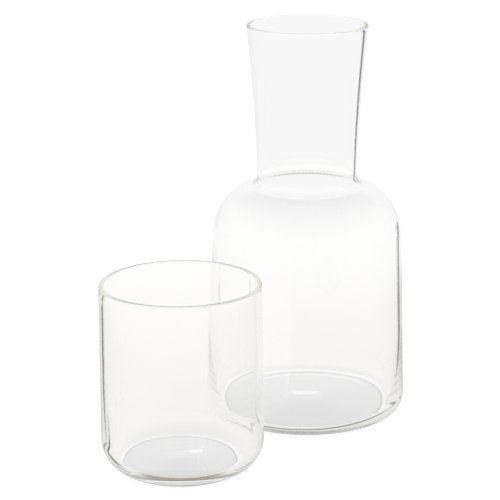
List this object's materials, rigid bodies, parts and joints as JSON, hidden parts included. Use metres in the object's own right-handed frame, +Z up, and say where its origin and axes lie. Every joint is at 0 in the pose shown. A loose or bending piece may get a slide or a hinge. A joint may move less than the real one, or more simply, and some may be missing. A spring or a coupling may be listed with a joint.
{
  "type": "bedside carafe with tumbler",
  "caption": "Clear blown glass bedside carafe with a round shoulder and flared neck, and a straight round-heeled tumbler that stands beside it and fits over its neck.",
  "frame": {"origin": "on the ground, in the middle of the set's box from side to side and from front to back", "axes": "+Z up along both glasses' axes; +X from the tumbler's axis towards the carafe's axis; +Y follows from the other two"},
  "size_m": [0.1914, 0.0998, 0.2],
  "materials": {
    "carafe_glass": "clear blown glass, fire-polished",
    "tumbler_glass": "clear blown glass, fire-polished"
  },
  "bodies": {
    "carafe": {"carafe": "carafe_glass"},
    "tumbler": {"tumbler": "tumbler_glass"}
  },
  "joints": [
    {"name": "tumbler_lift", "type": "slide", "parent": "carafe", "child": "tumbler", "axis": [0, 0, 1], "range_m": [0, 0.21]}
  ]
}
